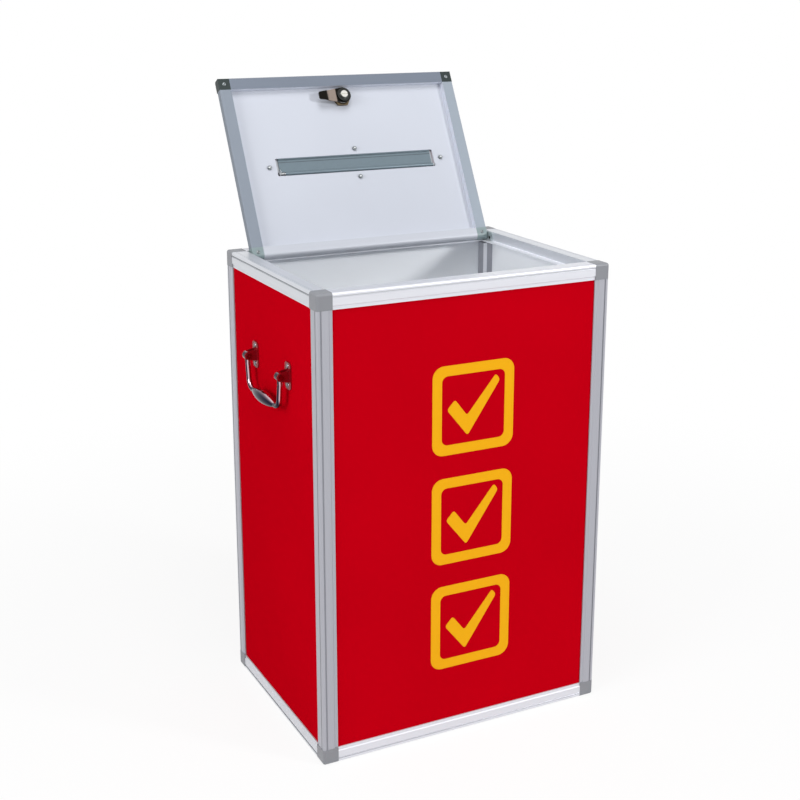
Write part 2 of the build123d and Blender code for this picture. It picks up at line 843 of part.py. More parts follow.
# Lock plug: a collar with the keyway, a round core and a square tail for the cam
cam_top = lock_top.offset(-barrel_length - cam_lift)
with BuildPart() as piece:
    with BuildSketch(lock_top.offset(-plug_collar_sunk)):
        with Locations((0, lock_y)):
            Circle(plug_collar_radius)
    extrude(amount=-plug_collar_height)
    with BuildSketch(lock_top.offset(-collar_space)):
        with Locations((0, lock_y)):
            Circle(plug_radius)
    extrude(amount=collar_space - barrel_length - cam_lift)
    with BuildSketch(cam_top):
        with Locations((0, lock_y)):
            Rectangle(plug_tail, plug_tail)
    extrude(amount=-cam_thick)
    with BuildSketch(cam_top.offset(-cam_thick)):
        with Locations((0, lock_y)):
            Circle(cam_screw_radius)
    extrude(amount=cam_screw_length, mode=Mode.SUBTRACT)
    with BuildSketch(lock_top):
        with Locations((0, lock_y)):
            Rectangle(keyway_width, keyway_length)
    extrude(amount=-keyway_depth, mode=Mode.SUBTRACT)
finish(piece, "lock_plug")

# Lock cam: the plan outline meets a cranked side outline, which drops the tip below the ledge
tip_corner = cam_tip_width / 2 - cam_tip_radius
crank_outer = cam_reach - cam_tip_length
crank_inner = crank_outer - cam_crank_run
with BuildPart() as piece:
    with BuildSketch(cam_top.offset(-cam_thick - cam_crank_drop)):
        with Locations((0, lock_y)):
            Circle(cam_hub_radius)
        with Locations(
            (cam_tip_radius - cam_reach, lock_y - tip_corner),
            (cam_tip_radius - cam_reach, lock_y + tip_corner),
        ):
            Circle(cam_tip_radius)
        make_hull()
    extrude(amount=cam_thick + cam_crank_drop)
    side_origin = cam_top.from_local_coords(Vector(0, lock_y - cam_hub_radius, 0))
    side_plane = Plane(origin=side_origin, x_dir=way(cam_top, left), z_dir=cam_top.y_dir)
    with BuildSketch(side_plane):
        with BuildLine():
            Polyline(
                (-cam_hub_radius, 0),
                (crank_inner, 0),
                (crank_outer, -cam_crank_drop),
                (cam_reach, -cam_crank_drop),
                (cam_reach, -cam_crank_drop - cam_thick),
                (crank_outer, -cam_crank_drop - cam_thick),
                (crank_inner, -cam_thick),
                (-cam_hub_radius, -cam_thick),
                close=True,
            )
        make_face()
    extrude(amount=2 * cam_hub_radius, mode=Mode.INTERSECT)
    with BuildSketch(cam_top):
        with Locations((0, lock_y)):
            Rectangle(plug_tail, plug_tail)
    extrude(amount=-cam_thick, mode=Mode.SUBTRACT)
finish(piece, "lock_cam")

# Cam screw: washer, slotted head and shank in one
washer_plane = cam_top.offset(-cam_thick)
head_plane = washer_plane.offset(-cam_washer_thick)
with BuildPart() as piece:
    for plane, radius, amount in (
        (washer_plane, cam_washer_radius, -cam_washer_thick),
        (head_plane, cam_screw_head_radius, -cam_screw_head_height),
        (washer_plane, cam_screw_radius, cam_screw_length),
    ):
        with BuildSketch(plane):
            with Locations((0, lock_y)):
                Circle(radius)
        extrude(amount=amount)
    with BuildSketch(head_plane.offset(-cam_screw_head_height)):
        with Locations((0, lock_y)):
            Rectangle(2 * cam_screw_head_radius, cam_screw_slot_width)
    extrude(amount=cam_screw_slot_depth, mode=Mode.SUBTRACT)
finish(piece, "cam_screw")

# Side handles
pivot_x = skin_x + handle_standoff
eye_width = 2 * (rod_radius + eye_land)
cheek_inner = eye_width / 2 + cheek_gap
pin_half = cheek_inner + cheek_thick
end_names = {"front": -1, "rear": 1}
for name, side in sides.items():
    for end_name, end in end_names.items():
        bracket_y = end * handle_spread / 2
        with BuildPart() as piece:
            with BuildSketch(Plane.YZ.offset(side * skin_x)):
                with Locations((bracket_y, handle_height)):
                    RectangleRounded(bracket_width, bracket_height, bracket_corner)
                    with Locations((0, -rivet_spread / 2), (0, rivet_spread / 2)):
                        Circle(rivet_radius, mode=Mode.SUBTRACT)
            extrude(amount=side * bracket_thick)
            for cheek_y in (bracket_y - pin_half, bracket_y + cheek_inner):
                cheek_plane = Plane(
                    origin=(side * skin_x, cheek_y, handle_height),
                    x_dir=(side, 0, 0),
                    z_dir=(0, -side, 0),
                )
                with BuildSketch(cheek_plane):
                    with Locations((handle_standoff, 0)):
                        Circle(cheek_radius)
                    with Locations((bracket_thick / 2, 0)):
                        Rectangle(bracket_thick, cheek_foot)
                    make_hull()
                    with Locations((handle_standoff, 0)):
                        Circle(handle_pin_radius, mode=Mode.SUBTRACT)
                extrude(amount=-side * cheek_thick)
        finish(piece, f"handle_bracket_{name}_{end_name}")

    with BuildPart() as piece:
        for bracket_y in (-handle_spread / 2, handle_spread / 2):
            with Locations(
                Plane(
                    origin=(side * pivot_x, bracket_y - pin_half, handle_height),
                    x_dir=(1, 0, 0),
                    z_dir=(0, 1, 0),
                )
            ):
                Cylinder(handle_pin_radius, 2 * pin_half, align=above)
                Cylinder(handle_pin_head_radius, handle_pin_head_height, align=below)
            with Locations(
                Plane(
                    origin=(side * pivot_x, bracket_y + pin_half, handle_height),
                    x_dir=(1, 0, 0),
                    z_dir=(0, 1, 0),
                )
            ):
                Cylinder(handle_pin_head_radius, handle_pin_head_height, align=above)
    finish(piece, f"handle_pins_{name}")

    with BuildPart() as piece:
        for y, z in rivet_places:
            head = Plane(
                origin=(side * (skin_x + bracket_thick), y, z),
                x_dir=(0, 1, 0),
                z_dir=(side, 0, 0),
            )
            with Locations(head):
                Cylinder(rivet_head_radius, rivet_head_height, align=above)
                Cylinder(rivet_radius, bracket_thick + panel_thick, align=below)
            with Locations(head.offset(-bracket_thick - panel_thick)):
                Cylinder(rivet_tail_radius, rivet_tail_height, align=below)
        domes = piece.faces().filter_by(Axis.X).group_by(Axis.X)[-1 if side > 0 else 0]
        chamfer(domes.edges(), rivet_head_edge)
    finish(piece, f"handle_rivets_{name}")

    # Bail: a bent rod with an eye at each end and a swelling grip
    with BuildPart() as piece:
        bail_plane = Plane(
            origin=(side * pivot_x, 0, handle_height), x_dir=(0, 1, 0), z_dir=(1, 0, 0)
        )
        half_spread = handle_spread / 2
        low_spread = half_spread - handle_draw_in
        with BuildLine(bail_plane):
            rod_path = FilletPolyline(
                (half_spread, 0),
                (half_spread, -handle_arm_straight),
                (low_spread, -handle_drop),
                (-low_spread, -handle_drop),
                (-half_spread, -handle_arm_straight),
                (-half_spread, 0),
                radius=bail_corner,
            )
        with BuildSketch(Plane(origin=rod_path @ 0, z_dir=rod_path % 0)):
            Circle(rod_radius)
        sweep(path=rod_path)
        with BuildSketch(bail_plane):
            with BuildLine():
                grip_curve = ThreePointArc(
                    (-grip_length / 2, rod_radius - grip_sink - handle_drop),
                    (0, grip_radius - handle_drop),
                    (grip_length / 2, rod_radius - grip_sink - handle_drop),
                )
                Polyline(
                    grip_curve @ 1,
                    (grip_length / 2, -handle_drop),
                    (-grip_length / 2, -handle_drop),
                    grip_curve @ 0,
                )
            make_face()
        grip_axis = Axis((side * pivot_x, 0, handle_height - handle_drop), (0, 1, 0))
        revolve(axis=grip_axis)
        for eye_y in (-half_spread, half_spread):
            eye_plane = Plane(
                origin=(side * pivot_x, eye_y, handle_height), x_dir=(1, 0, 0), z_dir=(0, 1, 0)
            )
            with Locations(eye_plane):
                Cylinder(eye_radius, eye_width)
        for eye_y in (-half_spread, half_spread):
            eye_plane = Plane(
                origin=(side * pivot_x, eye_y, handle_height), x_dir=(1, 0, 0), z_dir=(0, 1, 0)
            )
            with Locations(eye_plane):
                Cylinder(
                    handle_pin_radius + handle_pin_run,
                    eye_width + 2 * overrun,
                    mode=Mode.SUBTRACT,
                )
    finish(piece, f"handle_bail_{name}")
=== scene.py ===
"""Ballot box: finishes, front marks, small fasteners, floor, lights and camera."""

import json
from math import cos, pi, radians, sin

import bmesh
import bpy
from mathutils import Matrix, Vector


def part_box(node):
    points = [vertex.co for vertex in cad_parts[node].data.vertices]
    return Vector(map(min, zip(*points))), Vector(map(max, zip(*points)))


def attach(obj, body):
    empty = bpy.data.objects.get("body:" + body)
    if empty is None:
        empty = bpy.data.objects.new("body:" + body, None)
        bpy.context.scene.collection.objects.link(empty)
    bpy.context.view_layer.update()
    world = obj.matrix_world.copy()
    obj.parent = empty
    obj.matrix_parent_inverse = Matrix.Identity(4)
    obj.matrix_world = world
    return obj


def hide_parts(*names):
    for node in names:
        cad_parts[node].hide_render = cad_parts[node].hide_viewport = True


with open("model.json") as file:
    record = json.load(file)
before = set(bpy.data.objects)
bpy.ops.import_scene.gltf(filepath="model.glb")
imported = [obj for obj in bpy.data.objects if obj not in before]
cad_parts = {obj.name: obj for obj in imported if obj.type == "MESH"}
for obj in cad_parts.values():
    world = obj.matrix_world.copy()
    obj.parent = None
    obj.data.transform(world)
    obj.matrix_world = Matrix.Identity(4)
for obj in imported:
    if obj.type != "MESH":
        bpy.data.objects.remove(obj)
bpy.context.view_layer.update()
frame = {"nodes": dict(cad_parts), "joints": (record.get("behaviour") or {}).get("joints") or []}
nodes = frame["nodes"]
joints = {joint["name"]: joint for joint in frame["joints"]}
scene = bpy.context.scene
mm = 0.001
x_axis, y_axis, z_axis = range(3)
sides = (("left", -1), ("right", 1))

# The frame's box, and the outer skins of its panels
box_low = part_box("bottom_corner_front_left")[0]
box_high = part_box("top_corner_rear_right")[1]
box_middle = (box_low + box_high) / 2
box_half = (box_high - box_low) / 2
wall_skin_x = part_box("panel_right")[1].x
wall_skin_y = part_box("panel_rear")[1].y
bottom_skin_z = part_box("panel_bottom")[0].z
skin_thick = 0.35 * mm
groove_place = 5.4 * mm

# The lid, open at rest: lid_normal points out of its upper side, and lid_rearward to its hinge
lid_open = radians(joints["lid_hinge"]["range_deg"][1])
lid_tilt = pi - lid_open
lid_normal = Vector((0, sin(lid_open), cos(lid_open)))
lid_rearward = Vector((0, cos(lid_open), -sin(lid_open)))
lid_turn = (-lid_open, 0, 0)


def extent(names, direction):
    """The least and greatest distance of CAD nodes along a direction."""
    places = [direction.dot(vertex.co) for name in names for vertex in nodes[name].data.vertices]
    return min(places), max(places)


lid_frame = [name for name in nodes if name.startswith(("lid_rail_", "lid_corner_"))]
lid_left, lid_right = extent(lid_frame, Vector((1, 0, 0)))
lid_front, lid_rear = extent(lid_frame, lid_rearward)
lid_under, lid_top = extent(lid_frame, lid_normal)
panel_under, panel_top = extent(["lid_panel"], lid_normal)
lid_width, lid_length, lid_thick = lid_right - lid_left, lid_rear - lid_front, lid_top - lid_under
lid_centre = lid_rearward * (lid_front + lid_rear) / 2 + lid_normal * lid_top
lid_panel_top, lid_panel_under = panel_top - lid_top, panel_under - lid_top
lid_face = 16 * mm
slot_shift = sum(corner.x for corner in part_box("slot_plate")) / 2


# Node helpers
def fill(tree, made, inputs):
    """Link or set a node's inputs, which go by name or number."""
    for key, value in inputs.items():
        if isinstance(value, bpy.types.NodeSocket):
            tree.links.new(value, made.inputs[key])
        else:
            made.inputs[key].default_value = value


def node(tree, kind, label=None, inputs=None, **settings):
    """Add a node, set its properties and fill its inputs."""
    made = tree.nodes.new(kind)
    if label:
        made.label = label
    for key, value in settings.items():
        setattr(made, key, value)
    fill(tree, made, inputs or {})
    return made


def maths(tree, operation, *values, label=None):
    """The result of a Math node on sockets or numbers."""
    inputs = dict(enumerate(values))
    return node(tree, "ShaderNodeMath", label, inputs, operation=operation).outputs[0]


def vector_maths(tree, operation, *values, label=None):
    """The result of a Vector Math node on sockets or vectors."""
    made = node(tree, "ShaderNodeVectorMath", label, dict(enumerate(values)), operation=operation)
    return made.outputs["Value" if operation in ("DOT_PRODUCT", "LENGTH") else "Vector"]


def mixed(tree, factor, first, second):
    """A mix of two colours."""
    inputs = {0: factor, 6: first, 7: second}
    return node(tree, "ShaderNodeMix", None, inputs, data_type="RGBA").outputs[2]


def noise(tree, label, vector, scale, detail=2.0, roughness=0.5):
    """The factor of a noise texture."""
    inputs = {"Vector": vector, "Scale": scale, "Detail": detail, "Roughness": roughness}
    return node(tree, "ShaderNodeTexNoise", label, inputs).outputs["Fac"]


def ramp(tree, label, factor, stops):
    """The colour at a factor between (position, colour) stops."""
    made = node(tree, "ShaderNodeValToRGB", label, {"Fac": factor})
    elements = made.color_ramp.elements
    while len(elements) < len(stops):
        elements.new(0.5)
    for element, (position, colour) in zip(elements, stops):
        element.position = position
        element.color = (*colour, 1)
    return made.outputs["Color"]


def remapped(tree, label, value, low, high, from_low=0.0, from_high=1.0, **settings):
    """A value carried from one range to another."""
    inputs = {"Value": value, "From Min": from_low, "From Max": from_high, "To Min": low,
              "To Max": high}
    return node(tree, "ShaderNodeMapRange", label, inputs, **settings).outputs["Result"]


def relief(tree, shader, height, strength, depth):
    """Turn a shader's normal by a height."""
    inputs = {"Strength": strength, "Distance": depth, "Height": height}
    fill(tree, shader, {"Normal": node(tree, "ShaderNodeBump", None, inputs).outputs["Normal"]})


def varied(tree, value, middle, amount, base):
    """A value's swing about its middle, and a base colour that it makes lighter and darker."""
    swing = maths(tree, "MULTIPLY", maths(tree, "SUBTRACT", value, middle), amount)
    shade = {"Vector": base, "Scale": maths(tree, "ADD", swing, 1.0)}
    scaled = node(tree, "ShaderNodeVectorMath", None, shade, operation="SCALE")
    return swing, scaled.outputs["Vector"]


def seen_or_mirrored(tree):
    """One for rays that show a thing, direct, mirrored or through glass, and else zero."""
    ways = node(tree, "ShaderNodeLightPath").outputs
    direct = maths(tree, "MAXIMUM", ways["Is Camera Ray"], ways["Is Glossy Ray"])
    return maths(tree, "MAXIMUM", direct, ways["Is Transmission Ray"])


def new_material(name):
    """A node material with its tree, its Principled shader and its object's coordinates."""
    material = bpy.data.materials.new(name)
    material.use_nodes = True
    tree = material.node_tree
    coordinates = node(tree, "ShaderNodeTexCoord").outputs
    return material, tree, tree.nodes["Principled BSDF"], coordinates


def new_group(name, inputs, outputs):
    """An empty shader node group with named sockets: its tree, its inputs, its output node."""
    tree = bpy.data.node_groups.new(name, "ShaderNodeTree")
    for label, kind, value in inputs:
        socket = tree.interface.new_socket(label, in_out="INPUT", socket_type=kind)
        if value is not None:
            socket.default_value = value
    for label, kind in outputs:
        tree.interface.new_socket(label, in_out="OUTPUT", socket_type=kind)
    given = tree.nodes.new("NodeGroupInput").outputs
    return tree, given, tree.nodes.new("NodeGroupOutput")


finish_outputs = [("Color", "NodeSocketColor"), ("Roughness", "NodeSocketFloat"),
                  ("Height", "NodeSocketFloat")]


def make_drawn_metal():
    """Extrusion lines: fine streaks that run along a rail, with faint cloudy variation."""
    tree, given, out = new_group(
        "drawn metal",
        [
            ("Vector", "NodeSocketVector", None),
            ("Base", "NodeSocketColor", (0.7, 0.72, 0.75, 1)),
            ("Streak", "NodeSocketFloat", 0.05),
            ("Roughness", "NodeSocketFloat", 0.34),
        ],
        finish_outputs,
    )
    cloud_share, roughness_swing = 0.5, 1.6
    middle = 0.5 + 0.5 * cloud_share
    lines = noise(tree, "die lines", given["Vector"], 1.0, detail=3.0)
    cloud = noise(tree, "anodising cloud", given["Vector"], 0.035)
    both = maths(tree, "MULTIPLY_ADD", cloud, cloud_share, lines)
    swing, colour = varied(tree, both, middle, given["Streak"], given["Base"])
    roughness = maths(tree, "MULTIPLY_ADD", swing, roughness_swing, given["Roughness"])
    fill(tree, out, {"Color": colour, "Roughness": roughness, "Height": lines})
    return tree


def make_frame_faces():
    """Where a point of the frame lies: on an outer face's groove line, or on an inner face."""
    tree, given, out = new_group(
        "frame faces", [("Vector", "NodeSocketVector", None)],
        [("Groove", "NodeSocketFloat"), ("Inner", "NodeSocketFloat")],
    )
    face_slack, inner_depth, groove_half = 0.7 * mm, 12 * mm, 1.0 * mm
    past_any_top = 1.0
    centred = vector_maths(tree, "SUBTRACT", given["Vector"], box_middle, label="from the middle")
    folded = vector_maths(tree, "ABSOLUTE", centred)

    def past(corner, label):
        """Distances of the folded point past a corner point."""
        return vector_maths(tree, "SUBTRACT", folded, corner, label=label)

    def extreme(vector, operation):
        """The largest or smallest part of a vector."""
        parts = node(tree, "ShaderNodeSeparateXYZ", None, {0: vector}).outputs
        return maths(tree, operation, maths(tree, operation, parts[0], parts[1]), parts[2])

    upright = past((box_half.x, box_half.y, past_any_top), "past an upright face")
    outer = maths(tree, "GREATER_THAN", extreme(upright, "MAXIMUM"), -face_slack,
                  label="on an upright outer face")
    outside = past(box_half, "past the outside")
    inner = maths(tree, "LESS_THAN", extreme(outside, "MAXIMUM"), -inner_depth,
                  label="on an inner face")
    lines = past([length - groove_place for length in box_half], "off the groove lines")
    nearest = extreme(vector_maths(tree, "ABSOLUTE", lines), "MINIMUM")
    near = maths(tree, "LESS_THAN", nearest, groove_half, label="near a groove")
    fill(tree, out, {"Groove": maths(tree, "MULTIPLY", outer, near), "Inner": inner})
    return tree


def make_grain():
    """Speckle: a fine moulded or sprayed grain."""
    tree, given, out = new_group(
        "moulded grain",
        [
            ("Vector", "NodeSocketVector", None),
            ("Base", "NodeSocketColor", (0.3, 0.3, 0.3, 1)),
            ("Scale", "NodeSocketFloat", 900.0),
            ("Amount", "NodeSocketFloat", 0.1),
            ("Roughness", "NodeSocketFloat", 0.5),
        ],
        finish_outputs,
    )
    speckle = noise(tree, "grain", given["Vector"], given["Scale"], detail=4.0, roughness=0.6)
    swing, colour = varied(tree, speckle, 0.5, given["Amount"], given["Base"])
    roughness = maths(tree, "ADD", swing, given["Roughness"])
    fill(tree, out, {"Color": colour, "Roughness": roughness, "Height": speckle})
    return tree


drawn_metal = make_drawn_metal()
frame_faces = make_frame_faces()
grain = make_grain()

# Tones of the painted shade on the frame's groove lines, of the painted light on its inner faces
# and on the lid rails' inner walls, and of the panels' lacquers
groove_shade_tone = (0.03, 0.04, 0.055, 1)
inner_face_light_tone = (0.9, 0.91, 0.95, 1)
painted_light_wall_tone = (0.64, 0.67, 0.75, 1)
red = (0.485, 0.0, 0.006)
wall_white = (0.93, 0.955, 0.99)
# Painted shade: the lid's white is the walls' white lacquer made darker, as the lid takes more
# light
shaded_lid_white = (0.54, 0.565, 0.63)


def extrusion_material(name, along, base, roughness=0.34, streak=0.1, metallic=0.55, tilt=0.0,
                       groove=0.0, lit_side=None):
    """Anodised extrusion whose lines run along one axis, turned back by the lid's tilt.

    groove sets how dark the painted shade on the frame's groove lines is, and brings in painted
    light on its inner faces; faces toward the given side are paler, as painted light.
    """
    material, tree, shader, coordinates = new_material(name)
    lines_along, lines_across = 9, 1400
    line_strength, line_depth = 0.04, 0.2 * mm
    least_facing = 0.7
    turn = node(tree, "ShaderNodeMapping", "lid to row axes",
                {"Vector": coordinates["Object"], "Rotation": (tilt, 0, 0)})
    stretch = node(tree, "ShaderNodeMapping", "along the rail", {
        "Vector": turn.outputs["Vector"],
        "Scale": [lines_along if axis == along else lines_across for axis in range(3)],
    })
    drawn = node(tree, "ShaderNodeGroup", None, {
        "Vector": stretch.outputs["Vector"], "Base": (*base, 1), "Streak": streak,
        "Roughness": roughness,
    }, node_tree=drawn_metal).outputs
    colour = drawn["Color"]
    # Painted shade darkens the frame's groove lines, and painted light brightens its inner faces
    if groove:
        faces = node(tree, "ShaderNodeGroup", None, {"Vector": coordinates["Object"]},
                     node_tree=frame_faces).outputs
        share = maths(tree, "MULTIPLY", faces["Groove"], groove, label="how dark the painted groove shade is")
        colour = mixed(tree, share, colour, groove_shade_tone)
        colour = mixed(tree, faces["Inner"], colour, inner_face_light_tone)
    # Painted light: faces toward the given side are paler, as if lit
    if lit_side:
        facing = vector_maths(tree, "DOT_PRODUCT", coordinates["Normal"], lit_side,
                              label="toward the painted lit side")
        pale = maths(tree, "GREATER_THAN", facing, least_facing)
        colour = mixed(tree, pale, colour, painted_light_wall_tone)
    fill(tree, shader, {"Base Color": colour, "Roughness": drawn["Roughness"],
                        "Metallic": metallic})
    relief(tree, shader, drawn["Height"], line_strength, line_depth)
    return material


def grained_material(name, base, roughness=0.5, scale=900.0, amount=0.12, strength=0.5,
                     depth=0.04 * mm, metallic=0.0, specular=0.5, band=None):
    """A material with a fine all-over grain.

    band is another tone, a direction, and the two distances along it that the tone lies between.
    """
    material, tree, shader, coordinates = new_material(name)
    speckle = node(tree, "ShaderNodeGroup", None, {
        "Vector": coordinates["Object"], "Base": (*base, 1), "Scale": scale, "Amount": amount,
        "Roughness": roughness,
    }, node_tree=grain).outputs
    colour = speckle["Color"]
    if band:
        other, direction, low, high = band
        along = vector_maths(tree, "DOT_PRODUCT", coordinates["Object"], direction,
                             label="distance")
        inside = maths(tree, "MULTIPLY", maths(tree, "GREATER_THAN", along, low),
                       maths(tree, "LESS_THAN", along, high), label="band")
        colour = mixed(tree, inside, colour, (*other, 1))
    fill(tree, shader, {"Base Color": colour, "Roughness": speckle["Roughness"],
                        "Metallic": metallic, "Specular IOR Level": specular})
    relief(tree, shader, speckle["Height"], strength, depth)
    return material


def panel_material(name, planes, white=wall_white):
    """Lacquered panel: red where a point lies past one of the planes, white elsewhere.

    Each plane is (direction, distance, whether the far side of zero counts too).
    """
    material, tree, shader, coordinates = new_material(name)
    peel_strength, peel_depth = 0.05, 0.2 * mm
    point = coordinates["Object"]
    mask = 0.0
    for direction, distance, two_sided in planes:
        place = vector_maths(tree, "DOT_PRODUCT", point, direction,
                             label="distance along the normal")
        if two_sided:
            place = maths(tree, "ABSOLUTE", place)
        past = maths(tree, "GREATER_THAN", place, distance, label="outer skin")
        mask = maths(tree, "MAXIMUM", mask, past)
    cloud = noise(tree, "lacquer cloud", point, 6.0)
    white_tone, red_tone = (
        ramp(tree, label, cloud, [(0.3, [part * (1 - swing) for part in tone]),
                                  (0.7, [part * (1 + swing) for part in tone])])
        for label, tone, swing in (("white", white, 0.02), ("red", red, 0.03))
    )
    fill(tree, shader, {
        "Base Color": mixed(tree, mask, white_tone, red_tone),
        "Roughness": remapped(tree, "roughness", cloud, 0.2, 0.28),
        "Specular IOR Level": 0.0,
    })
    peel = noise(tree, "orange peel", point, 180.0, detail=1.0)
    relief(tree, shader, peel, peel_strength, peel_depth)
    return material


def bail_material():
    """Bright plate with painted reflections: near black below and behind, pale highlights above
    and in front.
    """
    material, tree, shader, coordinates = new_material("bail chrome")
    painted_highlight_direction = (0.35, -0.75, 0.56)
    painted_dark_reflection = (0.012, 0.008, 0.025)
    across = node(tree, "ShaderNodeSeparateXYZ", None, {0: coordinates["Object"]}).outputs[0]
    side = maths(tree, "SIGN", across, label="which handle")
    mirror = node(tree, "ShaderNodeCombineXYZ", None,
                  {0: maths(tree, "MULTIPLY", side, -1.0), 1: 1.0, 2: 1.0}).outputs[0]
    normal = vector_maths(tree, "MULTIPLY", coordinates["Normal"], mirror,
                          label="as on the left handle")
    facing = vector_maths(tree, "DOT_PRODUCT", normal, painted_highlight_direction, label="toward the light")
    spread = remapped(tree, "whole turn", facing, 0.0, 1.0, from_low=-1.0)
    # Painted reflection: dark where the surface faces away from the light, pale highlight where it
    # faces it
    tone = ramp(tree, "painted reflection tone", spread, [
        (0.08, (0.28, 0.1, 0.13)), (0.28, painted_dark_reflection), (0.56, painted_dark_reflection),
        (0.66, (0.16, 0.1, 0.13)), (0.77, (0.72, 0.55, 0.6)), (0.97, (0.42, 0.28, 0.32)),
    ])
    haze = noise(tree, "polishing haze", coordinates["Object"], 60.0)
    fill(tree, shader, {
        "Base Color": tone,
        "Roughness": remapped(tree, "roughness", haze, 0.08, 0.16),
        "Metallic": 1.0,
    })
    return material


def dress(names, material):
    """Give CAD nodes a material."""
    for name in names:
        slots = nodes[name].data.materials
        slots.clear()
        slots.append(material)


# The frame's rails and posts: one anodised aluminium in three tones, lit and shaded copies painted
# to how the light falls on each
long_rail = extrusion_material("long rail", x_axis, (0.7, 0.71, 0.76), groove=0.35)
side_rail = extrusion_material("side rail", y_axis, (0.63, 0.65, 0.69), groove=0.85)
post = extrusion_material("post", z_axis, (0.41, 0.415, 0.46), groove=0.5)
dress([name for name in nodes if name.startswith("post_")], post)
for level in ("bottom_rail", "top_rail"):
    dress([f"{level}_front", f"{level}_rear"], long_rail)
    dress([f"{level}_left", f"{level}_right"], side_rail)

# The lid's rails, each with its own tone, as the light falls on them
lid_rail_finishes = {
    "front": dict(along=x_axis, base=(0.14, 0.165, 0.21), lit_side=tuple(lid_rearward)),
    "rear": dict(along=x_axis, base=(0.44, 0.46, 0.51)),
    "left": dict(along=y_axis, base=(0.19, 0.22, 0.265), tilt=lid_tilt, lit_side=(1, 0, 0)),
    "right": dict(along=y_axis, base=(0.26, 0.3, 0.35), tilt=lid_tilt, lit_side=(-1, 0, 0)),
}
for place, finish in lid_rail_finishes.items():
    lid_rail = extrusion_material(f"lid {place} rail", roughness=0.5, metallic=0.2, **finish)
    dress([f"lid_rail_{place}"], lid_rail)

# Corner connectors of the frame, and of the lid's front and rear; the lid's front ones are the
# same nylon painted near black as painted shade
connector_grey = grained_material("connector nylon", (0.225, 0.233, 0.255), roughness=0.45)
lid_connector_shade = grained_material("lid connector nylon in painted shade", (0.02, 0.03, 0.03), roughness=0.45,
                                      specular=0.25)
hinge_connector_grey = grained_material("hinge connector nylon", (0.2, 0.26, 0.27),
                                        roughness=0.4)
dress([name for name in nodes if "_corner_" in name], connector_grey)
for name, _ in sides:
    dress([f"lid_corner_front_{name}"], lid_connector_shade)
    dress([f"lid_corner_rear_{name}"], hinge_connector_grey)

# Composite panels: red lacquer outside, white lacquer inside
walls = panel_material("wall panel", [
    ((1, 0, 0), wall_skin_x - skin_thick, True), ((0, 1, 0), wall_skin_y - skin_thick, True),
])
floor_panel = panel_material("bottom panel", [((0, 0, -1), -bottom_skin_z - skin_thick, False)])
# The lid's white is darkened as painted shade
lid_sheet = panel_material(
    "lid panel", [(tuple(lid_normal), panel_top - skin_thick, False)], shaded_lid_white
)
dress([f"panel_{place}" for place in ("front", "rear", "left", "right")], walls)
dress(["panel_bottom"], floor_panel)
dress(["lid_panel"], lid_sheet)

# Metals, and the handle brackets' dark red, a painted reflection of the red panel in their plates
smooth_grain, plated_grain = 0.01 * mm, 0.02 * mm
# The chrome's base is dark, a painted reflection of dark surroundings
chrome = grained_material("chrome", (0.22, 0.215, 0.23), roughness=0.1, scale=300.0,
                          amount=0.08, depth=smooth_grain, metallic=1.0)
lock_chrome = grained_material("lock chrome", (0.5, 0.49, 0.48), roughness=0.15, scale=400.0,
                               amount=0.1, depth=smooth_grain, metallic=1.0)
dark_brass = grained_material("dark brass", (0.16, 0.12, 0.07), roughness=0.22, scale=500.0,
                              amount=0.15, depth=plated_grain, metallic=1.0)
zinc = grained_material("zinc plate", (0.5, 0.51, 0.52), roughness=0.35, scale=600.0,
                        amount=0.15, depth=plated_grain, metallic=1.0)
dull_zinc = grained_material("dull zinc", (0.2, 0.22, 0.23), roughness=0.4, scale=600.0,
                             amount=0.2, depth=plated_grain, metallic=0.9)
black_steel = grained_material("blackened steel", (0.02, 0.022, 0.025), roughness=0.35,
                               scale=500.0, amount=0.2, depth=plated_grain, metallic=0.6)
hinge_plate_tone = grained_material("hinge plate", (0.5, 0.56, 0.58), roughness=0.35,
                                    scale=500.0, amount=0.1, depth=plated_grain, metallic=0.7)
bracket_red_reflection = grained_material("bracket red reflection", (0.23, 0.003, 0.008), roughness=0.2,
                               scale=300.0, amount=0.08, depth=smooth_grain, specular=0.12)
plate_tone = extrusion_material("slot plate", x_axis, (0.36, 0.375, 0.4), roughness=0.6,
                                streak=0.06, metallic=0.4)
handles = [name for name in nodes if name.startswith("handle_")]
dress(handles, bracket_red_reflection)
dress([name for name in handles if "bail" in name], bail_material())
dress([name for name in handles if "pin" in name], chrome)
dress(["lock_barrel", "lock_plug"], lock_chrome)
dress(["hinge_pin_left", "hinge_pin_right", "flap_pin", "flap_spring"], zinc)
dress(["hinge_plate_left", "hinge_plate_right"], hinge_plate_tone)
dress(["slot_plate"], plate_tone)

# Metals of two tones: the flap has a dark line near its front edge, painted shade of a crease; the
# cam and its screw carry painted reflections and a painted highlight
coarse_grain = dict(scale=260.0, strength=0.3, depth=plated_grain)
crease_shade = (lid_front + lid_rear) / 2 - 7 * mm
crease_shade_half = 0.5 * mm
flap_sheet = grained_material(
    "flap sheet", (0.13, 0.175, 0.205), roughness=0.35, metallic=0.3, **coarse_grain,
    band=((0.06, 0.08, 0.095), tuple(lid_rearward), crease_shade - crease_shade_half, crease_shade + crease_shade_half),
)
# Painted reflection: the cam's pale band between a black tip and a black hub stands for light and
# dark reflections
reflection_band_from, reflection_band_to = 11 * mm, 24 * mm
cam_steel = grained_material(
    "cam steel", (0.012, 0.011, 0.009), roughness=0.3, metallic=1.0, **coarse_grain,
    band=((0.27, 0.22, 0.19), (-1, 0, 0), reflection_band_from, reflection_band_to),
)
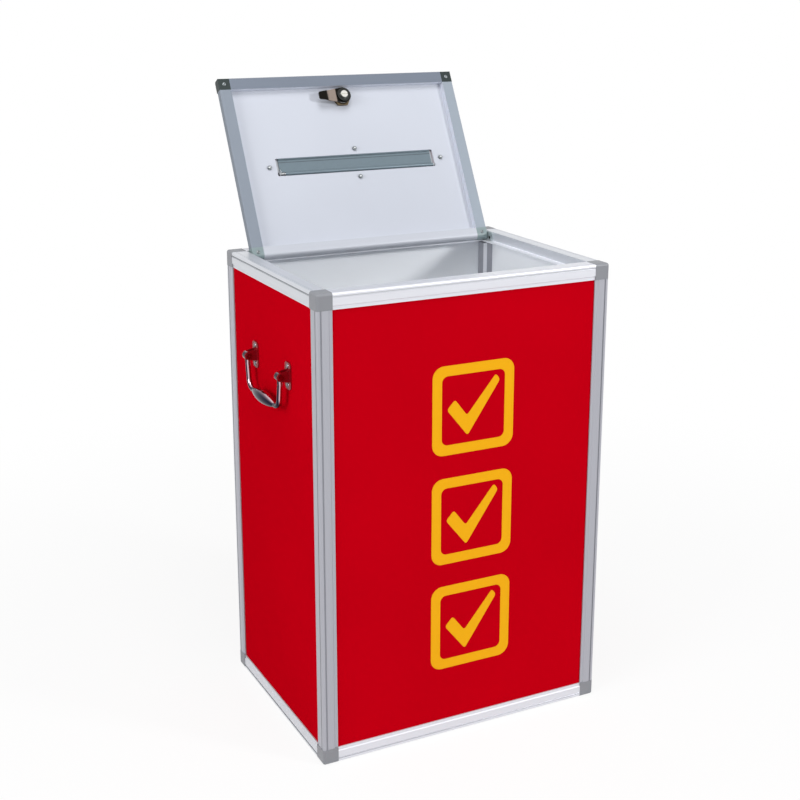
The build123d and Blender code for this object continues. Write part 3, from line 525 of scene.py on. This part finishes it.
# Painted highlight: the screw's head is pale on a washer painted dark as a reflection
screw_end = extent(["cam_screw"], -lid_normal)[1]
cam_screw_head, past_head = 2.3 * mm, 1 * mm
cam_screw_highlight = grained_material(
    "cam screw", (0.045, 0.047, 0.045), roughness=0.14, metallic=1.0, **coarse_grain,
    band=((0.8, 0.79, 0.74), tuple(-lid_normal), screw_end - cam_screw_head,
          screw_end + past_head),
)
dress(["slot_flap"], flap_sheet)
dress(["lock_cam"], cam_steel)
dress(["cam_screw"], cam_screw_highlight)


# Shapes of small turned and cut pieces, in millimetres
def keep(sketch, name):
    """Write a bmesh to a new mesh with its faces turned outward."""
    bmesh.ops.recalc_face_normals(sketch, faces=sketch.faces)
    mesh = bpy.data.meshes.new(name)
    sketch.to_mesh(mesh)
    sketch.free()
    return mesh


def lathe(name, profile_at, steps):
    """A shape about Z whose profile of (radius, height) points may change with the angle.

    The turns share the points on the axis, and a profile that keeps off the axis closes.
    """
    sketch = bmesh.new()
    on_axis = {}

    def corner(radius, height, angle):
        """A new vertex, or the one that all turns share on the axis."""
        if radius == 0 and height in on_axis:
            return on_axis[height]
        made = sketch.verts.new((radius * cos(angle) * mm, radius * sin(angle) * mm, height * mm))
        if radius == 0:
            on_axis[height] = made
        return made

    turns = []
    for angle in (2 * pi * step / steps for step in range(steps)):
        turns.append([corner(radius, height, angle) for radius, height in profile_at(angle)])
    for turn, following in zip(turns, turns[1:] + turns[:1]):
        for a in range(len(turn)):
            b = (a + 1) % len(turn)
            corners = list(dict.fromkeys((turn[a], turn[b], following[b], following[a])))
            if len(corners) > 2:
                sketch.faces.new(corners)
    return keep(sketch, name)


def turned(name, profile, steps=32):
    """A round shape about Z from (radius, height) points."""
    return lathe(name, lambda angle: profile, steps)


def prism(name, outline, low, high, taper=1.0):
    """A prism over an outline, its low end scaled by the taper."""
    sketch = bmesh.new()
    ends = [
        [sketch.verts.new((x * scale * mm, y * scale * mm, z * mm)) for x, y in outline]
        for z, scale in ((low, taper), (high, 1.0))
    ]
    sketch.faces.new(ends[0])
    sketch.faces.new(ends[1])
    for a in range(len(outline)):
        b = (a + 1) % len(outline)
        sketch.faces.new((ends[0][a], ends[0][b], ends[1][b], ends[1][a]))
    return keep(sketch, name)


def circle(radius, steps):
    """Points round a circle."""
    angles = [2 * pi * step / steps for step in range(steps)]
    return [(radius * cos(angle), radius * sin(angle)) for angle in angles]


def cut(body, tool):
    """A mesh less another, by an exact boolean."""
    holders = [bpy.data.objects.new(mesh.name, mesh) for mesh in (body, tool)]
    for holder in holders:
        scene.collection.objects.link(holder)
    modifier = holders[0].modifiers.new("cut", "BOOLEAN")
    modifier.solver = "EXACT"
    modifier.operation = "DIFFERENCE"
    modifier.object = holders[1]
    graph = bpy.context.evaluated_depsgraph_get()
    made = bpy.data.meshes.new_from_object(holders[0].evaluated_get(graph))
    for holder in holders:
        bpy.data.objects.remove(holder)
    return made


def cross_recess(body, top, size, depth):
    """Cut a tapered cross into a screw head."""
    half, narrow, above = size / 2, size / 7, 0.3
    for x, y in ((half, narrow), (narrow, half)):
        outline = [(-x, -y), (x, -y), (x, y), (-x, y)]
        body = cut(body, prism("bit", outline, top - depth, top + above, taper=0.45))
    return body


def threaded(radius, top, bottom, pitch):
    """Profile points down a threaded shank, with a pointed lead."""
    root, point = radius * 0.84, radius * 0.6
    points = []
    height = top
    while height - pitch > bottom:
        points += [(root, height), (radius, height - pitch / 2)]
        height -= pitch
    return points + [(root, height), (point, bottom), (0, bottom)]


def hex_nut(name, across, low, high, bore):
    """A hexagon nut with chamfered corners and an open bore."""
    steps, flat_share, corner_drop = 48, 0.48, 0.9
    reach, flat = across / 3**0.5, across * flat_share
    slope = (reach - across / 2) * corner_drop / (reach - flat)

    def section(angle):
        """The nut's section, whose outer edge follows the hexagon."""
        edge = across / 2 / cos(angle % (pi / 3) - pi / 6)
        drop = (edge - flat) * slope
        return [(bore, low), (flat, low), (edge, low + drop), (edge, high - drop), (flat, high),
                (bore, high)]

    return lathe(name, section, steps)


def make_rows():
    """Rows of one piece along two steps, as a Geometry Nodes tree."""
    tree = bpy.data.node_groups.new("rows of one piece", "GeometryNodeTree")
    for label, kind in (
        ("Piece", "Geometry"), ("Count", "Int"), ("Step", "Vector"), ("Rows", "Int"),
        ("Row Step", "Vector"), ("Start", "Vector"), ("Place", "Vector"), ("Turn", "Vector"),
        ("Finish", "Material"),
    ):
        tree.interface.new_socket(label, in_out="INPUT", socket_type=f"NodeSocket{kind}")
    tree.interface.new_socket("Geometry", in_out="OUTPUT", socket_type="NodeSocketGeometry")
    given, out = tree.nodes.new("NodeGroupInput").outputs, tree.nodes.new("NodeGroupOutput")
    row = node(tree, "GeometryNodeMeshLine", "one row's points", {
        "Count": given["Count"], "Start Location": given["Start"], "Offset": given["Step"],
    })
    rows = node(tree, "GeometryNodeMeshLine", "the rows' points", {
        "Count": given["Rows"], "Offset": given["Row Step"],
    })
    one_row = node(tree, "GeometryNodeInstanceOnPoints", None, {
        "Points": row.outputs["Mesh"], "Instance": given["Piece"],
    })
    all_rows = node(tree, "GeometryNodeInstanceOnPoints", None, {
        "Points": rows.outputs["Mesh"], "Instance": one_row.outputs["Instances"],
    })
    plain = node(tree, "GeometryNodeRealizeInstances", None, {
        "Geometry": all_rows.outputs["Instances"],
    })
    placed = node(tree, "GeometryNodeTransform", None, {
        "Geometry": plain.outputs["Geometry"], "Translation": given["Place"],
        "Rotation": given["Turn"],
    })
    painted = node(tree, "GeometryNodeSetMaterial", None, {
        "Geometry": placed.outputs["Geometry"], "Material": given["Finish"],
    })
    fill(tree, out, {"Geometry": painted.outputs["Geometry"]})
    return tree


rows_tree = make_rows()


def repeated(name, mesh, finish, place, turn=(0, 0, 0), start=(0, 0, 0), count=1, step=(0, 0, 0),
             rows=1, row_step=(0, 0, 0)):
    """A piece repeated in rows, as one plain mesh object at the origin; lengths in metres."""
    values = {"Count": count, "Step": step, "Rows": rows, "Row Step": row_step, "Start": start,
              "Place": place, "Turn": turn, "Finish": finish}
    holder = bpy.data.objects.new(name, mesh)
    scene.collection.objects.link(holder)
    modifier = holder.modifiers.new("rows", "NODES")
    modifier.node_group = rows_tree
    for item in rows_tree.interface.items_tree:
        if item.in_out == "INPUT" and item.name in values:
            modifier[item.identifier] = values[item.name]
    graph = bpy.context.evaluated_depsgraph_get()
    made = bpy.data.meshes.new_from_object(holder.evaluated_get(graph))
    holder.modifiers.remove(modifier)
    holder.data = made
    made.name = name
    return holder


def joined(name, pieces):
    """Several objects' meshes as one object."""
    first, *others = pieces
    sketch = bmesh.new()
    for piece in pieces:
        sketch.from_mesh(piece.data)
    sketch.to_mesh(first.data)
    sketch.free()
    for piece in others:
        bpy.data.objects.remove(piece)
    first.name = first.data.name = name
    return first


def smooth(piece, angle=35):
    """Shade faces smooth up to an angle."""
    piece.data.shade_smooth()
    piece.data.set_sharp_from_angle(angle=radians(angle))
    return piece


# Slot plate's screws and nuts: pan heads above the lid, nuts and thread tails below it
plate_screw_reach_x = 129.5 * mm
plate_screw_reach_y = 20.5 * mm


def round_the_slot(name, mesh, finish):
    """A piece at the slot plate's four screw places."""
    beside = repeated(
        name, mesh, finish, lid_centre, lid_turn, start=(slot_shift - plate_screw_reach_x, 0, 0),
        count=2, step=(2 * plate_screw_reach_x, 0, 0),
    )
    before = repeated(
        f"{name}_before", mesh, finish, lid_centre, lid_turn,
        start=(slot_shift, -plate_screw_reach_y, 0), count=2, step=(0, 2 * plate_screw_reach_y, 0),
    )
    return smooth(joined(name, [beside, before]))


slot_plate_thick, head_thick = 2.5, 1.8
shank, shank_length = 1.5, 9.3
under_panel = lid_panel_under / mm
head_seat = lid_panel_top / mm + slot_plate_thick
head_top = head_seat + head_thick
slot_screw = turned(
    "slot screw",
    [(0, head_top), (0.9, head_top - 0.04), (1.8, head_top - 0.22), (2.5, head_top - 0.65),
     (2.9, head_top - 1.3), (2.9, head_seat), (shank, head_seat)]
    + threaded(shank, head_seat - 0.4, head_seat - shank_length, pitch=0.5),
)
slot_screw = cross_recess(slot_screw, head_top, size=3.2, depth=1.2)
slot_screws = round_the_slot("slot_screws_turned", slot_screw, zinc)
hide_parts("slot_screws")
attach(slot_screws, "lid")
slot_nut_thick = 2.4
slot_nut = hex_nut("slot nut", 5.5, under_panel - slot_nut_thick, under_panel, bore=1.3)
slot_nuts = round_the_slot("slot_nuts_chamfered", slot_nut, dull_zinc)
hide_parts("slot_nuts")
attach(slot_nuts, "lid")

# Black caps on the ends of the flap's pin
pin_cap = prism("pin cap", circle(radius=2.3, steps=24), low=0.02, high=0.9)
flap_hinge = Vector(joints["flap_hinge"]["pos_m"])
pin_caps = smooth(joined("flap_pin_caps", [
    repeated(f"flap_pin_cap_{name}", pin_cap, black_steel, (end.x, flap_hinge.y, flap_hinge.z),
             (0, side * pi / 2, 0))
    for (name, side), end in zip(sides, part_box("flap_pin"))
]))
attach(pin_caps, "lid")

# Cross-headed screws in the lid's corner connectors; the rear ones keep clear of the ledge
ledge_clearance = 1.5 * mm
corner_screw = turned("corner screw", [(0, 1.1), (1.2, 1.0), (2.1, 0.7), (2.6, 0.2), (2.6, 0),
                                       (1.4, 0), (1.4, -3), (0, -3)])
corner_screw = cross_recess(corner_screw, 1.1, size=2.8, depth=0.9)
span_x, span_y = lid_width - lid_face, lid_length - lid_face - ledge_clearance
corner_screws = smooth(repeated(
    "lid_corner_screws", corner_screw, dull_zinc, lid_centre - lid_normal * lid_thick,
    (lid_tilt, 0, 0), start=(-span_x / 2, (ledge_clearance - span_y) / 2, 0),
    count=2, step=(span_x, 0, 0), rows=2, row_step=(0, span_y, 0),
))
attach(corner_screws, "lid")

# Lock: a chamfered nut, and the thread on the barrel below it
lock_place = joints["lock_turn"]["pos_m"]
lock_nut_thick = 5
lock_nut = smooth(repeated(
    "lock_nut_chamfered",
    hex_nut("lock nut", 24, under_panel - lock_nut_thick, under_panel, bore=9.5),
    dark_brass, lock_place, lid_turn,
))
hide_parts("lock_nut")
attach(lock_nut, "lid")
thread_pitch = 1 * mm
thread_start = lid_panel_under - 8.5 * mm
root, crest = 9.3, 9.75
ridge = turned(
    "thread ridge", [(root, 0.45), (crest, 0.06), (crest, -0.06), (root, -0.45)], steps=64
)
lock_thread = smooth(repeated(
    "lock_barrel_thread", ridge, lock_chrome, lock_place, lid_turn,
    start=(0, 0, thread_start), count=4, step=(0, 0, thread_pitch),
))
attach(lock_thread, "lid")

# Hinge plate screws, countersunk with a cross, where their solids are
countersink = 2.4 * mm
hinge_screw = turned(
    "hinge screw",
    [(0, 0.12), (1.4, 0.08), (2.35, 0), (1.25, -2.4)] + threaded(1.2, -2.6, -8.4, pitch=0.7),
)
hinge_screw = cross_recess(hinge_screw, 0.12, size=2.6, depth=0.9)
screws_low, screws_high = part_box("hinge_plate_screws")
hinge_face_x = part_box("hinge_plate_right")[0].x
hinge_screw_step = screws_high.y - screws_low.y - 2 * countersink
hinge_screws = smooth(joined("hinge_plate_screws_turned", [
    repeated(
        f"hinge_screw_pair_{name}", hinge_screw, black_steel,
        (side * hinge_face_x, screws_low.y + countersink, (screws_low.z + screws_high.z) / 2),
        (0, -side * pi / 2, 0), count=2, step=(0, hinge_screw_step, 0),
    )
    for name, side in sides
]))
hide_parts("hinge_plate_screws")
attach(hinge_screws, "case")

# Domed rivets of the handle brackets
bracket_thick = 1.6 * mm
rivet_reach_y = 55 * mm
rivet_reach_z = 12 * mm
rivet = turned(
    "rivet",
    [(0, 1.3), (0.9, 1.24), (1.8, 1.05), (2.6, 0.7), (3.2, 0.25), (3.4, 0), (1.9, 0), (1.9, -4.6),
     (3.1, -4.6), (3.1, -5.2), (2.4, -5.6), (0, -5.6)],
)
for name, side in sides:
    handle_height = joints[f"handle_{name}_pivot"]["pos_m"][2]
    rivets = smooth(repeated(
        f"handle_rivets_{name}_domed", rivet, chrome,
        (side * (wall_skin_x + bracket_thick), 0, handle_height), (0, side * pi / 2, 0),
        start=(-rivet_reach_z, -rivet_reach_y, 0), count=2, step=(2 * rivet_reach_z, 0, 0),
        rows=2, row_step=(0, 2 * rivet_reach_y, 0),
    ))
    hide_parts(f"handle_rivets_{name}")
    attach(rivets, "case")


# Front marks: three ticked boxes cut from yellow film, with their outlines in millimetres
def film_mesh(name, loops, half_thick=0.09):
    """A flat shape with a film's thickness from closed loops of (x, y) points."""
    curve = bpy.data.curves.new(name, "CURVE")
    curve.dimensions = "2D"
    curve.fill_mode = "BOTH"
    curve.extrude = half_thick * mm
    for loop in loops:
        spline = curve.splines.new("POLY")
        spline.points.add(len(loop) - 1)
        for point, (x, y) in zip(spline.points, loop):
            point.co = (x * mm, y * mm, 0, 1)
        spline.use_cyclic_u = True
    holder = bpy.data.objects.new(name, curve)
    scene.collection.objects.link(holder)
    graph = bpy.context.evaluated_depsgraph_get()
    mesh = bpy.data.meshes.new_from_object(holder.evaluated_get(graph))
    bpy.data.objects.remove(holder)
    return mesh


def rounded_square(half, corner, steps=10):
    """Points round a square with rounded corners."""
    points = []
    for quarter, (sx, sy) in enumerate(((1, 1), (-1, 1), (-1, -1), (1, -1))):
        for step in range(steps + 1):
            angle = pi / 2 * (quarter + step / steps)
            points.append((sx * (half - corner) + corner * cos(angle),
                           sy * (half - corner) + corner * sin(angle)))
    return points


def rounded(points, radius, steps=6):
    """A closed outline with its corners turned through short curves."""
    made = []
    for k, point in enumerate(points):
        here = Vector(point)
        before = (Vector(points[k - 1]) - here).normalized() * radius
        after = (Vector(points[(k + 1) % len(points)]) - here).normalized() * radius
        for step in range(steps + 1):
            t = step / steps
            made.append(tuple(here + before * (1 - t) ** 2 + after * t**2))
    return made


film_gap = 0.08 * mm
marks_x, marks_z, marks_pitch = 8 * mm, 293 * mm, 144 * mm
outside, inside = rounded_square(half=57, corner=15), rounded_square(half=44, corner=8)
tick = rounded([(-37, 1), (-26, 13), (-9, -9), (31, 39), (37, 31), (-8, -35)], radius=4)
mark = film_mesh("tick box", [outside, inside, tick])
yellow_film = grained_material("yellow film", (0.82, 0.395, 0.006), roughness=0.32, scale=350.0,
                               amount=0.05, depth=smooth_grain, specular=0.05)
marks = repeated(
    "front_marks", mark, yellow_film, (marks_x, -wall_skin_y - film_gap, marks_z), (pi / 2, 0, 0),
    start=(0, marks_pitch, 0), count=3, step=(0, -marks_pitch, 0),
)
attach(marks, "case")


# Lamps, backdrop and floor
def area_light(name, place, target, size, power):
    """A square soft light aimed at a point."""
    lamp = bpy.data.lights.new(name, "AREA")
    lamp.shape = "RECTANGLE"
    lamp.size = lamp.size_y = size
    lamp.energy = power
    holder = bpy.data.objects.new(name, lamp)
    aim = Vector(target) - Vector(place)
    holder.location = place
    holder.rotation_euler = aim.to_track_quat("-Z", "Y").to_euler()
    scene.collection.objects.link(holder)


area_light("key", (2.3, -2.9, 1.9), (0, 0, 0.45), size=0.6, power=70)
area_light("left", (-2.8, -0.8, 1.5), (0, 0, 0.35), size=1.6, power=49)
area_light("top", (-0.3, -0.8, 3.0), (0, 0, 0.5), size=1.4, power=36)


def make_backdrop():
    """A world that lights the object softly and shows white."""
    ambient, white = 0.25, 1.0
    world = bpy.data.worlds.new("studio")
    scene.world = world
    world.use_nodes = True
    tree = world.node_tree
    strength = remapped(tree, "ambient to white", seen_or_mirrored(tree), ambient, white)
    fill(tree, tree.nodes["Background"], {"Strength": strength, "Color": (1, 1, 1, 1)})


def make_floor():
    """A wide pale floor that keeps the object's shadow and shows white to the camera."""
    half_size, drop = 6.0, 0.2 * mm
    near, far, near_share = 0.35, 1.4, 0.88
    mesh = bpy.data.meshes.new("floor")
    sketch = bmesh.new()
    bmesh.ops.create_grid(sketch, x_segments=2, y_segments=2, size=half_size)
    sketch.to_mesh(mesh)
    sketch.free()
    ground = bpy.data.objects.new("floor", mesh)
    scene.collection.objects.link(ground)
    ground.location.z = -drop
    material, tree, shader, coordinates = new_material("studio floor")
    mottle = noise(tree, "paper mottle", coordinates["Object"], 3.0)
    tone = ramp(tree, None, mottle, [(0.0, (0.88, 0.88, 0.88)), (1.0, (0.9, 0.9, 0.9))])
    fill(tree, shader, {"Base Color": tone, "Roughness": 0.9, "Specular IOR Level": 0.0})
    glow = node(tree, "ShaderNodeEmission", "white to the camera", {"Strength": 1.0})
    reach = vector_maths(tree, "LENGTH", coordinates["Object"], label="distance from the box")
    fade = remapped(tree, "shadow kept near the box", reach, near_share, 1.0, near, far,
                    interpolation_type="SMOOTHSTEP")
    share = maths(tree, "MULTIPLY", seen_or_mirrored(tree), fade)
    both = node(tree, "ShaderNodeMixShader", None,
                {"Fac": share, 1: shader.outputs[0], 2: glow.outputs[0]})
    fill(tree, tree.nodes["Material Output"], {"Surface": both.outputs[0]})
    mesh.materials.append(material)


make_backdrop()
make_floor()

# Camera at the photograph's viewing angle
picture_width, focal_pixels, sensor_width = 800, 1359.4, 36.0
picture_drop = 50 / picture_width
look_down, look_right = 0.2647, 0.4644
camera_data = bpy.data.cameras.new("camera")
camera_data.sensor_fit = "HORIZONTAL"
camera_data.sensor_width = sensor_width
camera_data.lens = focal_pixels / picture_width * sensor_width
camera_data.shift_y = -picture_drop
camera_data.clip_start = 0.05
camera = bpy.data.objects.new("camera", camera_data)
camera.location = (-0.7843, -1.5277, 0.9402)
camera.rotation_euler = (pi / 2 - look_down, 0.0, -look_right)
scene.collection.objects.link(camera)
scene.camera = camera
scene.view_settings.view_transform = "Standard"
